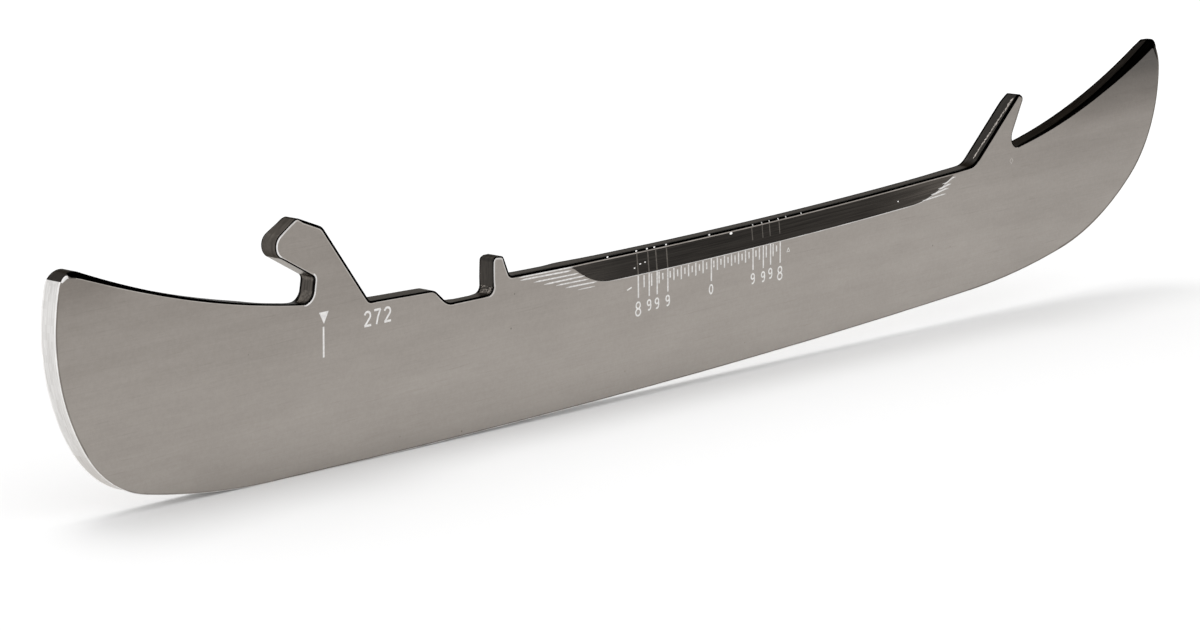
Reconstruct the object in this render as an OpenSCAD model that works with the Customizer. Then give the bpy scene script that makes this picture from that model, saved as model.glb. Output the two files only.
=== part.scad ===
// Skate runner: one flat steel blade for an ice hockey skate, seen with its toe to +X.
// The ice edge faces -Z and the edge that sits in the holder faces +Z. The thickness lies along Y.
// Lengths are in millimetres. The frame's origin is under the middle of the length, at the ice.

/* [Blade] */
// Overall length, heel to toe
blade_length = 272; // [255:1:295]
// Thickness of the steel
thickness = 3; // [2.6:0.1:3.4]
// Small chamfer round the edges that sit in the holder
chamfer = 0.3; // [0.15:0.05:0.4]
// Height of the web above the ice, at the lowest place of its top edge
web_height = 22.2; // [19:0.1:26]
// Radius of the web's top edge, which sags towards the middle
web_top_r = 1950; // [1800:50:4000]
// Lowest place of the web's top edge, ahead of the middle
web_low_x = 1; // [-15:1:10]

/* [Relief] */
// Depth of the relief ground into each face, at the web's top edge
relief_depth = 0.25; // [0.1:0.05:0.5]
// Height of the relief, from the web's top edge down
relief_height = 3.8; // [2:0.1:6]
// Radius of the grinding wheel, which leaves the relief's curved ends
wheel_r = 280; // [150:10:400]
// Heel end of the relief at the top edge, behind the middle
relief_rear = 36; // [20:1:42]
// Toe end of the relief at the top edge, ahead of the middle
relief_front = 66; // [30:1:68]

/* [Toe bevel] */
// Height of the bevel on the toe's top edge, at the notch
bevel_start = 0.25; // [0.2:0.05:0.4]
// Height of the bevel at the toe's top corner
bevel_end = 1.4; // [1:0.1:1.8]
// Radius of the bevel's border on the face, which is hollow
bevel_r = 162; // [150:1:175]
// Depth of the bevel for each millimetre of its height
bevel_ratio = 0.33; // [0.2:0.01:0.5]
// Radius of the border where the bevel turns down round the toe's corner
bevel_turn_r = 4; // [3:0.1:5]

/* [Ice edge] */
// Radius of the rocker, the long curve that rests on the ice
rocker_r = 2743; // [2400:1:3353]
// Place where the rocker touches the ice, ahead of the middle
contact_x = -2; // [-12:1:12]
// Radius of the hollow ground along the ice edge
hollow_r = 12.7; // [9.5:0.1:25]
// Flat left on each side of the hollow
edge_land = 0.1; // [0.05:0.05:0.3]

/* [Toe curve] */
// Radius where the rocker starts to lift at the toe
toe_lift_r = 200; // [150:5:260]
// Radius of the turn under the toe
toe_turn_r = 57; // [50:1:64]
// Radius of the toe's nose
toe_nose_r = 23.5; // [20:0.5:26]
// Slope of the edge, in degrees, where the lift ends and the turn begins
toe_lift_end = 10.3; // [8:0.1:12]
// Slope of the edge, in degrees, where the turn ends and the nose begins
toe_turn_end = 37; // [33:1:42]

/* [Heel curve] */
// Radius where the rocker starts to lift at the heel
heel_lift_r = 120; // [100:5:150]
// Radius of the turn under the heel
heel_turn_r = 15.5; // [14:0.5:18]
// Radius of the heel's nose
heel_nose_r = 30; // [28:0.5:34]
// Slope of the edge, in degrees, where the lift ends and the turn begins
heel_lift_end = 13.1; // [11:0.1:14.5]
// Slope of the edge, in degrees, where the turn ends and the nose begins
heel_turn_end = 58; // [54:1:62]

/* [Toe] */
// Height of the toe's top corner above the web, before it is rounded
toe_rise = 19.2; // [16:0.1:22]
// Radius of the toe's top edge, which is hollow
toe_top_r = 141; // [120:1:180]
// Rounding of the toe's top corner
toe_tip_r = 2.4; // [1.5:0.1:3]

/* [Toe post] */
// Distance from the toe's end to the notch behind the toe, at its sharp corner
notch_back = 52.9; // [50:0.1:56]
// Height of the notch above the web, at its sharp corner
notch_rise = 2.6; // [1.5:0.1:4]
// Rounding at the bottom of the notch
notch_r = 1.9; // [1.5:0.1:2.3]
// Slope of the post's front side, in degrees
post_front_slope = 60.7; // [56:0.1:65]
// Slope of the post's rear side, in degrees
post_rear_slope = 39.3; // [36:0.1:42]
// Height of the post's tip above the web, on the front side
post_rise = 11.8; // [9:0.1:13]
// Height that the tip gains from its front corner to its rear corner
post_tip_rise = 0.9; // [0.6:0.1:1.2]
// Length of the post's blunt tip
post_tip_width = 1.5; // [1.3:0.1:2]
// Rounding of the post's tip
post_tip_r = 0.7; // [0.65:0.05:0.8]
// Rounding at the foot of the post's rear side
post_foot_r = 4.5; // [2:0.5:7]

/* [Latch post] */
// Distance from the heel's end to the post's flat rear side
latch_back = 82.15; // [80:0.05:86]
// Height of the post above the web
latch_rise = 4; // [3.2:0.1:5]
// Width of the post at its top
latch_width = 2.1; // [1.9:0.05:3]
// Slope of the post's front side, in degrees
latch_front_slope = 65.6; // [58:0.1:75]
// Rounding of the post's top corners
latch_tip_r = 0.75; // [0.65:0.05:0.9]
// Rounding at the foot of the post
latch_foot_r = 1; // [0.6:0.1:1.4]

/* [Seat] */
// Depth of the seat below the web's lowest top edge
seat_drop = 1.55; // [0.5:0.05:3]
// Length of the seat, between its sharp corners
seat_length = 9.9; // [8:0.1:12]
// Length of the sloped step behind the seat, along the blade
step_run = 3.05; // [2.4:0.05:4]
// Height of the shelf's front end above the web's lowest top edge
shelf_rise = 1.2; // [0.6:0.1:2]
// Rounding at the bottom of the step
step_foot_r = 1.5; // [1:0.1:2]
// Rounding at the top of the step
step_top_r = 2.2; // [1:0.1:3]

/* [Rear hook] */
// Length of the shelf between the step and the hook
shelf_length = 12.85; // [10:0.05:15]
// Rise of the shelf towards the hook
shelf_gain = 0.5; // [0:0.1:1]
// Slope of the hook's long front side, in degrees
hook_front_slope = 54; // [50:0.5:60]
// Height of the hook's front shoulder above the web
hook_shoulder_rise = 13.7; // [12:0.1:15]
// Length of the hook's top, along the blade
hook_top_run = 5.25; // [4.5:0.05:6]
// Height that the hook's top gains towards the heel
hook_top_gain = 1.9; // [1:0.1:2.5]
// Length of the hook's sloped nose, along the blade
hook_nose_run = 5.85; // [5:0.05:6.5]
// Height that the hook's nose loses towards the heel
hook_nose_drop = 3.65; // [3:0.05:4.2]
// Slope of the lip's underside, in degrees
hook_lip_slope = 29.2; // [26:0.1:32]
// Length of the lip's underside, along the blade
hook_lip_run = 9.35; // [8.8:0.05:9.8]
// Slope of the gullet's end wall, in degrees
gullet_wall_slope = 80; // [76:1:88]
// Rounding at the top of the gullet's end wall
gullet_top_r = 0.8; // [0.6:0.05:1]
// Radius of the gullet's bottom, which takes the latch pin
gullet_r = 1.7; // [1.5:0.05:1.8]
// Rounding of the lip
lip_r = 1.9; // [1.4:0.1:2.2]
// Rounding of the hook's shoulder
hook_shoulder_r = 2; // [1:0.1:3]
// Rounding of the hook's top corner
hook_top_r = 0.8; // [0.65:0.05:1.2]
// Rounding at the foot of the hook
hook_foot_r = 1; // [0.6:0.1:2]

/* [Heel] */
// Height of the heel's top corner above the web, before it is rounded
heel_rise = 15.1; // [12:0.1:18]
// Radius of the heel's top edge, which is hollow
heel_top_r = 163; // [140:1:200]
// Height of the heel's top edge above the web, at the foot of the gullet's end wall
gullet_rise = 3.2; // [2.8:0.05:3.4]
// Rounding of the heel's top corner
heel_tip_r = 1.6; // [1:0.1:2]

/* [Hidden] */
steel = [0.58, 0.56, 0.54];
$fn = 96;
// Facets in a full turn of the long curves
long_fn = 1440;
long_r = 100;
function facets(r) = r > long_r ? long_fn : $fn;

half = blade_length / 2;
// How far a cut or a joined shape runs past what it meets
lap = 0.3;
skim = 0.05;
// Two edges that touch where their slopes agree would meet in a hair-thin step. So each edge
// stands proud by its level times this much, and the rounder of two neighbours has the higher
// level and crosses the other one cleanly.
proud = 0.003;
nose_level = 3;

// Vectors
function unit(v) = v / norm(v);
function left(v) = [-v.y, v.x];
function nearer(p, a, b) = norm(a - p) < norm(b - p) ? a : b;

// Ice edge: a chain of arcs, each touching the next where their slopes agree.
// Slopes are in degrees and end is 1 at the toe and -1 at the heel.
function run(r, from, to) = r * (sin(to) - sin(from));
function on_arc(c, r, slope, end) = c + r * [end * sin(slope), -cos(slope)];
function next_centre(c, r, next_r, slope, end) = on_arc(c, r - next_r, slope, end);

rocker_c = [contact_x, rocker_r];
nose_x = half - nose_level * proud;
toe_start = asin((nose_x - contact_x - toe_lift_r * sin(toe_lift_end)
    - run(toe_turn_r, toe_lift_end, toe_turn_end) - run(toe_nose_r, toe_turn_end, 90))
    / (rocker_r - toe_lift_r));
toe_lift_c = next_centre(rocker_c, rocker_r, toe_lift_r, toe_start, 1);
toe_turn_c = next_centre(toe_lift_c, toe_lift_r, toe_turn_r, toe_lift_end, 1);
toe_nose_c = next_centre(toe_turn_c, toe_turn_r, toe_nose_r, toe_turn_end, 1);

heel_start = asin((nose_x + contact_x - heel_lift_r * sin(heel_lift_end)
    - run(heel_turn_r, heel_lift_end, heel_turn_end) - run(heel_nose_r, heel_turn_end, 90))
    / (rocker_r - heel_lift_r));
heel_lift_c = next_centre(rocker_c, rocker_r, heel_lift_r, heel_start, -1);
heel_turn_c = next_centre(heel_lift_c, heel_lift_r, heel_turn_r, heel_lift_end, -1);
heel_nose_c = next_centre(heel_turn_c, heel_turn_r, heel_nose_r, heel_turn_end, -1);

// Point of a nose at a height, at the toe or the heel
function nose_at(c, r, z, end) = [c.x + end * sqrt(r * r - (z - c.y) * (z - c.y)), z];

// Holder edge: sharp corners, worked out from the sizes above
web_c = [web_low_x, web_height + web_top_r];
toe_tip = nose_at(toe_nose_c, toe_nose_r, web_height + toe_rise, 1);
notch = [half - notch_back, web_height + notch_rise];
post_front = notch + (post_rise - notch_rise) * [1 / tan(post_front_slope), 1];
post_rear = post_front + [-post_tip_width, post_tip_rise];
latch_top = web_height + latch_rise;
latch_rear = [latch_back - half, latch_top];
latch_front = latch_rear + [latch_width, 0];
seat_front = [latch_rear.x, web_height - seat_drop];
seat_rear = seat_front - [seat_length, 0];
shelf_front = [seat_rear.x - step_run, web_height + shelf_rise];
shelf_rear = shelf_front + [-shelf_length, shelf_gain];
shoulder_h = web_height + hook_shoulder_rise - shelf_rear.y;
shoulder = shelf_rear + shoulder_h * [-1 / tan(hook_front_slope), 1];
hook_top = shoulder + [-hook_top_run, hook_top_gain];
lip = hook_top - [hook_nose_run, hook_nose_drop];
gullet_top = lip + hook_lip_run * [1, -tan(hook_lip_slope)];
gullet_h = gullet_top.y - web_height - gullet_rise;
gullet = gullet_top - gullet_h * [1 / tan(gullet_wall_slope), 1];
heel_tip = nose_at(heel_nose_c, heel_nose_r, web_height + heel_rise, -1);

// Where a line through p at a slope meets a circle, on the side nearer p
function line_circle(p, dir, c, r) =
    let (d = unit(dir), foot = p + d * ((c - p) * d), h = sqrt(r * r - pow(norm(c - foot), 2)))
    nearer(p, foot + h * d, foot - h * d);
post_foot = line_circle(post_rear, [-1, -tan(post_rear_slope)], web_c, web_top_r);
latch_foot = line_circle(latch_front, [1, -tan(latch_front_slope)], web_c, web_top_r);

// Centre of an arc from p to q: it bulges out of the blade where r is positive
function arc_centre(p, q, r) = (p + q) / 2
    + sign(r) * left(unit(q - p)) * sqrt(r * r - pow(norm(q - p) / 2, 2));

// The outline, turning left all the way round. Each row is a sharp corner and its rounding, then
// the edge that follows: its radius (0 is straight, negative is hollow), its centre and its level.
corners = [
    [on_arc(rocker_c, rocker_r, heel_start, -1), 0, rocker_r, rocker_c, 0],
    [on_arc(rocker_c, rocker_r, toe_start, 1), 0, toe_lift_r, toe_lift_c, 1],
    [on_arc(toe_lift_c, toe_lift_r, toe_lift_end, 1), 0, toe_turn_r, toe_turn_c, 2],
    [on_arc(toe_turn_c, toe_turn_r, toe_turn_end, 1), 0, toe_nose_r, toe_nose_c, nose_level],
    [toe_tip, toe_tip_r, -toe_top_r, arc_centre(toe_tip, notch, -toe_top_r), 0],
    [notch, notch_r, 0],
    [post_front, post_tip_r, 0],
    [post_rear, post_tip_r, 0],
    [post_foot, post_foot_r, -web_top_r, web_c, 0],
    [latch_foot, latch_foot_r, 0],
    [latch_front, latch_tip_r, 0],
    [latch_rear, latch_tip_r, 0],
    [seat_front, latch_foot_r, 0],
    [seat_rear, step_foot_r, 0],
    [shelf_front, step_top_r, 0],
    [shelf_rear, hook_foot_r, 0],
    [shoulder, hook_shoulder_r, 0],
    [hook_top, hook_top_r, 0],
    [lip, lip_r, 0],
    [gullet_top, gullet_top_r, 0],
    [gullet, gullet_r, -heel_top_r, arc_centre(gullet, heel_tip, -heel_top_r), 0],
    [heel_tip, heel_tip_r, heel_nose_r, heel_nose_c, nose_level],
    [on_arc(heel_turn_c, heel_turn_r, heel_turn_end, -1), 0, heel_turn_r, heel_turn_c, 4],
    [on_arc(heel_lift_c, heel_lift_r, heel_lift_end, -1), 0, heel_lift_r, heel_lift_c, 1]
];
count = len(corners);
function corner(i) = corners[(i + count) % count][0];
function rounding(i) = corners[(i + count) % count][1];
function edge_r(i) = corners[(i + count) % count][2];
function edge_c(i) = corners[(i + count) % count][3];
function edge_level(i) = edge_r(i) == 0 ? 0 : corners[(i + count) % count][4];

// Direction of travel of edge i at a point of it
function heading(i, p) = edge_r(i) == 0
    ? unit(corner(i + 1) - corner(i))
    : sign(edge_r(i)) * unit(left(p - edge_c(i)));
// 1 where the outline turns left at corner i, -1 where it turns right
function turn(i) = sign(cross(heading(i - 1, corner(i)), heading(i, corner(i))));

// The point that lies t inside both edges at corner i, nearest the corner
function between(i, t) =
    let (p = corner(i), e = i - 1, re = edge_r(e), rf = edge_r(i))
    re == 0 && rf == 0 ? line_line(heading(e, p), heading(i, p), p, t)
    : re == 0 ? line_circle_near(p, heading(e, p), t, edge_c(i), abs(rf - t))
    : rf == 0 ? line_circle_near(p, heading(i, p), t, edge_c(e), abs(re - t))
    : circles(p, edge_c(e), abs(re - t), edge_c(i), abs(rf - t));
function line_line(d, e, p, t) = p + t * (e - d) / cross(d, e);
function line_circle_near(p, d, t, c, r) =
    let (q = p + t * left(d), foot = q + d * ((c - q) * d), h = sqrt(r * r - pow(norm(c - foot), 2)))
    nearer(p, foot + h * d, foot - h * d);
function circles(p, a, ra, b, rb) =
    let (d = norm(b - a), u = (b - a) / d, m = (ra * ra - rb * rb + d * d) / (2 * d),
        h = sqrt(ra * ra - m * m))
    nearer(p, a + m * u + h * left(u), a + m * u - h * left(u));

// Where a rounding with centre c touches edge i
function touch(i, c, p) = edge_r(i) == 0
    ? p + heading(i, p) * ((c - p) * heading(i, p))
    : edge_c(i) + abs(edge_r(i)) * unit(c - edge_c(i));

// Each corner's rounding: its two ends, its signed radius, its centre and its level
rounds = [for (i = [0 : count - 1])
    let (p = corner(i), s = rounding(i) == 0 ? 0 : turn(i), c = between_or(i, s, p))
    s == 0 ? [p, p, 0, p, 0] : [touch(i - 1, c, p), touch(i, c, p), s * rounding(i), c,
        max(edge_level(i - 1), edge_level(i)) + 1]];
function between_or(i, s, p) = s == 0 ? p : between(i, s * rounding(i));

// Every stretch of the outline in turn: its start, its end, its signed radius, its centre and its
// level
stretches = [for (i = [0 : count - 1]) each [
    if (rounds[i][2] != 0) rounds[i],
    [rounds[i][1], rounds[(i + 1) % count][0], edge_r(i), edge_c(i), edge_level(i)]
]];
total = len(stretches);
function stretch(i) = stretches[(i + total) % total];
function bend(r) = r == 0 ? 0 : 1 / r;

// How far stretch s runs on past its end, over its neighbour n: beyond the place where they cross
// if it is the one that shows there, and short of it if not
function run_on(s, n) =
    let (a = bend(s[2]), b = bend(n[2]), opposite = a * b < 0,
        gap = opposite ? s[4] + n[4] : s[4] - n[4],
        reach = sqrt(2 * proud * abs(gap) / abs(a - b)))
    (opposite ? a < 0 : gap > 0) ? 1.5 * reach : 0.5 * reach;

// The part of a disc that lies beyond the straight line between the ends of stretch i, with a
// strip of the near side so that it laps what it joins or cuts
module bow(i) {
    s = stretch(i);
    r = abs(s[2]);
    a = s[0];
    along = s[1] - s[0];
    length = norm(along);
    before = run_on(s, stretch(i - 1));
    after = run_on(s, stretch(i + 1));
    inward = cross(along, s[3] - a) > 0;
    rise = r - abs(cross(unit(along), s[3] - a));
    intersection() {
        translate(s[3]) circle(r + proud * s[4], $fn = facets(r));
        translate(a) rotate(atan2(along.y, along.x))
            translate([-before, inward ? -2 * rise : -lap])
            square([before + length + after, 2 * rise + lap]);
    }
}

// The blade's side view
module outline() {
    difference() {
        union() {
            polygon([for (s = stretches) s[0]]);
            for (i = [0 : total - 1]) if (stretch(i)[2] > 0) bow(i);
        }
        for (i = [0 : total - 1]) if (stretch(i)[2] < 0) bow(i);
    }
}

// The wheel that grinds the hollow is a disc whose rim has the hollow's radius, so its path along
// the rocker is a ring that leaves a land on each side. The lift of the toe and the heel carries
// the steel away from it, so the hollow runs out there.
wheel_rise = sqrt(pow(hollow_r, 2) - pow(thickness / 2 - edge_land, 2));
hollow_run = 12;
hollow_over = atan(hollow_run / rocker_r);
module hollow() {
    translate([rocker_c.x, 0, rocker_c.y]) rotate([90, 0, 0])
        rotate_extrude(angle = heel_start + toe_start + 2 * hollow_over,
            start = -90 - heel_start - hollow_over, $fn = long_fn)
            translate([rocker_r + wheel_rise, 0]) circle(hollow_r);
}

// A cut into the front face along an arc about c, from angle from to angle to. It leaves a slope
// that meets the face at radius r. It is w wide, and it sinks by slope for each millimetre on the
// inner side of r where side is -1, or on the outer side where side is 1.
module sloped_cut(c, r, from, to, w, slope, side) {
    face = thickness / 2;
    translate([c.x, 0, c.y]) rotate([90, 0, 0])
        rotate_extrude(angle = to - from, start = from, $fn = facets(r)) polygon([
            [r - side * skim, face + skim * slope],
            [r + side * w, face - w * slope],
            [r + side * w, face + skim * slope]
        ]);
}

// Angle about c at which a circle of radius r reaches the place x, below c
function angle_at(c, r, x) = -90 + asin((x - c.x) / r);

// Relief in the front face. Its slope follows the web's top edge. At each end the grinding wheel,
// which leans by the same slope, comes out of the steel along its own curve.
relief_slope = relief_depth / relief_height;
relief_foot_r = web_top_r + relief_height;
wheel_run = sqrt(2 * wheel_r * relief_depth);
wheel_step = 0.005;
wheel_overlap = 0.05;
module wheel_exit(x, end) {
    length = wheel_run + relief_height;
    translate([web_c.x, 0, web_c.y]) rotate([0, -90 - angle_at(web_c, relief_foot_r, x), 0])
        translate([0, -thickness / 2 - wheel_step, -relief_foot_r])
        rotate([-atan(relief_slope), 0, 0]) linear_extrude(4 * relief_height, center = true)
        intersection() {
            translate([0, -wheel_r]) circle(wheel_r, $fn = long_fn);
            translate([end * (length / 2 - wheel_overlap), 0])
                square([length, 2 * relief_height], center = true);
        }
}
module relief() {
    rear = wheel_run - relief_rear;
    front = relief_front - wheel_run;
    sloped_cut(web_c, relief_foot_r, angle_at(web_c, relief_foot_r, rear),
        angle_at(web_c, relief_foot_r, front), relief_height + lap, relief_slope, -1);
    wheel_exit(rear, -1);
    wheel_exit(front, 1);
}

// Bevel along the toe's top edge, which turns down round the toe's corner and fades out where its
// border touches the nose
bevel_c = arc_centre(toe_tip - [0, bevel_end], notch - [0, bevel_start], -bevel_r);
bevel_turn_c = circles(toe_tip, toe_nose_c, toe_nose_r - bevel_turn_r, bevel_c, bevel_r + bevel_turn_r);
bevel_fade = atan2((bevel_turn_c - toe_nose_c).y, (bevel_turn_c - toe_nose_c).x);
bevel_meet = atan2((bevel_c - bevel_turn_c).y, (bevel_c - bevel_turn_c).x);
bevel_join = 5;
module toe_bevel() {
    sloped_cut(bevel_c, bevel_r, angle_at(bevel_c, bevel_r, notch.x + 2 * notch_r),
        angle_at(bevel_c, bevel_r, half + bevel_end), 2 * bevel_end, bevel_ratio, -1);
    sloped_cut(bevel_turn_c, bevel_turn_r, bevel_fade - bevel_join, bevel_meet - bevel_join,
        2 * bevel_end, bevel_ratio, 1);
}

// Chamfer on the front face along stretch i of the outline. It runs on over its neighbours' ends
// as the stretch itself does.
module edge_break(i) {
    s = stretch(i);
    along = s[1] - s[0];
    before = run_on(s, stretch(i - 1));
    after = run_on(s, stretch(i + 1));
    if (s[2] == 0) {
        face = thickness / 2;
        translate([s[0].x, 0, s[0].y]) rotate([0, -atan2(along.y, along.x), 0])
            translate([-before, 0, 0]) rotate([90, 0, 90])
            linear_extrude(before + norm(along) + after) polygon([
                [-face - skim, chamfer + skim],
                [-face + chamfer + skim, -skim],
                [-face - skim, -skim]
            ]);
    } else {
        side = sign(s[2]);
        r = abs(s[2]);
        ends = side > 0 ? [s[0], s[1]] : [s[1], s[0]];
        reach = side > 0 ? [before, after] : [after, before];
        from = atan2(ends[0].y - s[3].y, ends[0].x - s[3].x);
        sweep = 2 * asin(norm(along) / 2 / r);
        sloped_cut(s[3], r + proud * s[4] - side * chamfer, from - degrees(reach[0] / r),
            from + sweep + degrees(reach[1] / r), chamfer + skim, 1, side);
    }
}
function degrees(x) = x * 180 / PI;

// The chamfered stretches, from the front of the toe post to the bottom of the gullet
first_break = 7;
last_break = 36;
module runner() {
    color(steel) difference() {
        rotate([90, 0, 0]) linear_extrude(thickness, center = true) outline();
        hollow();
        for (side = [0, 1]) mirror([0, side, 0]) {
            relief();
            toe_bevel();
            for (i = [first_break : last_break]) edge_break(i);
        }
    }
}

runner();
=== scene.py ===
# %% [markdown]
# A skate runner is one flat strip of hardened steel. Nearly all that the eye reads on it is finish:
# satin ground faces, a bright sharpened edge, a dark relief along the web and small broken edges.
# The CAD model could be dressed as it is, but its small curves are too coarse. It fixes where
# everything is, and its box gives the blade's length and thickness.

# %% Load the frame
import math
import random

import bmesh
import bpy
import numpy as np
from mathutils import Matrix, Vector


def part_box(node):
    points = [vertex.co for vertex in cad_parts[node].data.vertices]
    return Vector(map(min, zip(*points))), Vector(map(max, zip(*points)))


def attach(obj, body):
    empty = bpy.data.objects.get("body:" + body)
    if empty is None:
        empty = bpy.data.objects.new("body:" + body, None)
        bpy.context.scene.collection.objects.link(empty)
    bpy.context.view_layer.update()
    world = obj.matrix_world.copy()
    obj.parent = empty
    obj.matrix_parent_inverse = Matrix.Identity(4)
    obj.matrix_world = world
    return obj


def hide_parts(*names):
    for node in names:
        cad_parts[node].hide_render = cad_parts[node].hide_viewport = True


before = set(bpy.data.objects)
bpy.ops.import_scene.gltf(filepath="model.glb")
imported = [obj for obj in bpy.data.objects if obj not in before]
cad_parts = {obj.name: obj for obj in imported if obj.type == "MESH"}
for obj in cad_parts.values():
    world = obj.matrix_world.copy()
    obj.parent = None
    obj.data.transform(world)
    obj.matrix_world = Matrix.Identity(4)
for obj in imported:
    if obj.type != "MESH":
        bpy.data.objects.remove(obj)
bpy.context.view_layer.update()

MM = 0.001
NODE = "runner"
low, high = (np.array(corner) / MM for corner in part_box(NODE))
half_length = (high[0] - low[0]) / 2
half_thick = (high[1] - low[1]) / 2
print("runner box in mm:", low.round(2), high.round(2))

# %% [markdown]
# The photograph looks along the blade from in front of its heel, a little from above, and a long
# lens keeps the perspective mild. A camera could be aimed by a constraint, but this one stands
# level, so a place and two angles say it all.

# %% Camera
EYE = (-379.0, -298.5, 114.3)
TURN_RIGHT = 49.62
LOOK_DOWN = 12.39
LENS = 91.9
SENSOR = 36


def put_in_scene(name, data):
    made = bpy.data.objects.new(name, data)
    bpy.context.scene.collection.objects.link(made)
    return made


camera = put_in_scene("camera", bpy.data.cameras.new("camera"))
camera.data.lens = LENS
camera.data.sensor_width = SENSOR
camera.location = [place * MM for place in EYE]
camera.rotation_euler = (math.radians(90 - LOOK_DOWN), 0, math.radians(-TURN_RIGHT))
bpy.context.scene.camera = camera
bpy.context.scene.view_settings.view_transform = "Standard"
print("camera at", EYE, "mm with a", LENS, "mm lens")

# %% [markdown]
# Materials are node trees. They could be wired by hand in the shader editor, but a script can be
# read and repeated. Helpers keep it short: one adds a node and sets its sockets, some stand for
# nodes that come up often, and two start a shader group or a material.

# %% Node helpers
NOISE_RANGE = (0.3, 0.7)


def add(tree, kind, links=None, **settings):
    """Adds a node. settings are its own properties, and links are values or sockets for inputs."""
    node = tree.nodes.new(kind)
    for name, value in settings.items():
        setattr(node, name, value)
    for name, value in (links or {}).items():
        if isinstance(value, bpy.types.NodeSocket):
            tree.links.new(value, node.inputs[name])
        else:
            node.inputs[name].default_value = value
    return node


def math_node(tree, operation, first, second=0.0):
    return add(tree, "ShaderNodeMath", {0: first, 1: second}, operation=operation).outputs[0]


def stretch(tree, vector, factors):
    """A vector multiplied by one factor for each direction."""
    links = {0: vector, 1: factors}
    return add(tree, "ShaderNodeVectorMath", links, operation="MULTIPLY").outputs[0]


def remap(tree, value, start, end, low=0.0, high=1.0):
    """value from start to end becomes low to high, eased at both ends, and stays there beyond."""
    links = {"Value": value, "From Min": start, "From Max": end, "To Min": low, "To Max": high}
    return add(tree, "ShaderNodeMapRange", links, interpolation_type="SMOOTHSTEP").outputs["Result"]


def noise(tree, vector, scale, detail=2.0, rough=0.5):
    """Smooth noise. Most of it lies within NOISE_RANGE."""
    links = {"Vector": vector, "Scale": scale, "Detail": detail, "Roughness": rough}
    return add(tree, "ShaderNodeTexNoise", links).outputs["Fac"]


def widen(tree, value, low, high):
    """Noise carried over from NOISE_RANGE to low and high."""
    return remap(tree, value, *NOISE_RANGE, low, high)


def start_group(name, inputs, outputs):
    """A shader node group: its tree, its input node and its output node."""
    group = bpy.data.node_groups.new(name, "ShaderNodeTree")
    for in_out, sockets in (("INPUT", inputs), ("OUTPUT", outputs)):
        for label, kind, *value in sockets:
            kind = "NodeSocket" + kind
            socket = group.interface.new_socket(label, in_out=in_out, socket_type=kind)
            if value:
                socket.default_value = value[0]
    return group, group.nodes.new("NodeGroupInput"), group.nodes.new("NodeGroupOutput")


def start_material(name):
    material = bpy.data.materials.new(name)
    material.use_nodes = True
    return material, material.node_tree, material.node_tree.nodes["Principled BSDF"]


print("node helpers ready; noise is taken to lie within", NOISE_RANGE)

# %% [markdown]
# The stage is a plain pale floor. A rockered blade rocks on its curved edge, and in the photograph
# it rests a little towards its heel. The blade could be turned, but it shares its place with the
# CAD model, so the floor is tilted instead and touches the rocker there. It also glows a little,
# more so far away, where the lamp gets weak. Only the camera and the mirror-like steel see that, so
# the floor looks white and still takes the shadow.

# %% Floor
FLOOR_SIZE = 6.0
FLOOR_LEVEL = 0.80
FLOOR_ROUGHNESS = 0.9
FLOOR_LIFT = (0.05, 0.30)
FLOOR_LIFT_REACH = (0.25, 0.9)
FLOOR_TILT = 2.1
WHITE = (1, 1, 1, 1)
ROCKER_RADIUS = 2743
ROCKER_TOUCH = -2


def seen_or_mirrored(tree):
    """1 for rays from the camera, a mirror or a glass, and 0 for light that falls on things."""
    path = add(tree, "ShaderNodeLightPath")
    seen = math_node(tree, "MAXIMUM", path.outputs["Is Camera Ray"], path.outputs["Is Glossy Ray"])
    return math_node(tree, "MAXIMUM", seen, path.outputs["Is Transmission Ray"])


def make_floor():
    tilt = math.radians(FLOOR_TILT)
    touch_x = ROCKER_TOUCH - ROCKER_RADIUS * math.sin(tilt)
    touch_z = ROCKER_RADIUS * (1 - math.cos(tilt))
    bpy.ops.mesh.primitive_plane_add(
        size=FLOOR_SIZE, location=(touch_x * MM, 0, touch_z * MM), rotation=(0, tilt, 0)
    )
    floor = bpy.context.object
    floor.name = "floor"
    material, tree, shader = start_material("pale_floor")
    shader.inputs["Base Color"].default_value = (FLOOR_LEVEL,) * 3 + (1,)
    shader.inputs["Roughness"].default_value = FLOOR_ROUGHNESS
    shader.inputs["Specular IOR Level"].default_value = 0.0
    shader.inputs["Emission Color"].default_value = WHITE
    place = add(tree, "ShaderNodeTexCoord").outputs["Object"]
    away = add(tree, "ShaderNodeVectorMath", {0: place}, operation="LENGTH").outputs["Value"]
    far = remap(tree, away, *FLOOR_LIFT_REACH, *FLOOR_LIFT)
    lift = math_node(tree, "MULTIPLY", seen_or_mirrored(tree), far)
    tree.links.new(lift, shader.inputs["Emission Strength"])
    floor.data.materials.append(material)
    return round(touch_x, 1)


print("the floor touches the rocker at x =", make_floor())

# %% [markdown]
# A product photograph is lit by large soft sources. A ring of lamps could stand for them, but an
# even white sky leaves no hot spots on the steel. It lights a little less than it shows, and one
# soft lamp gives the rest. The lamp hangs almost overhead, a little behind the blade, so the shadow
# lies under the steel and falls towards the camera.

# %% Sky and lamp
SKY_LEVEL = 0.92
LAMP_SIZE = 0.9
LAMP_POWER = 8.5
LAMP_PLACE = (-0.06, 0.34, 1.45)


def make_sky():
    world = bpy.data.worlds.new("studio")
    world.use_nodes = True
    tree = world.node_tree
    background = tree.nodes["Background"]
    background.inputs["Color"].default_value = WHITE
    strength = remap(tree, seen_or_mirrored(tree), 0, 1, SKY_LEVEL, 1.0)
    tree.links.new(strength, background.inputs["Strength"])
    bpy.context.scene.world = world


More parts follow.
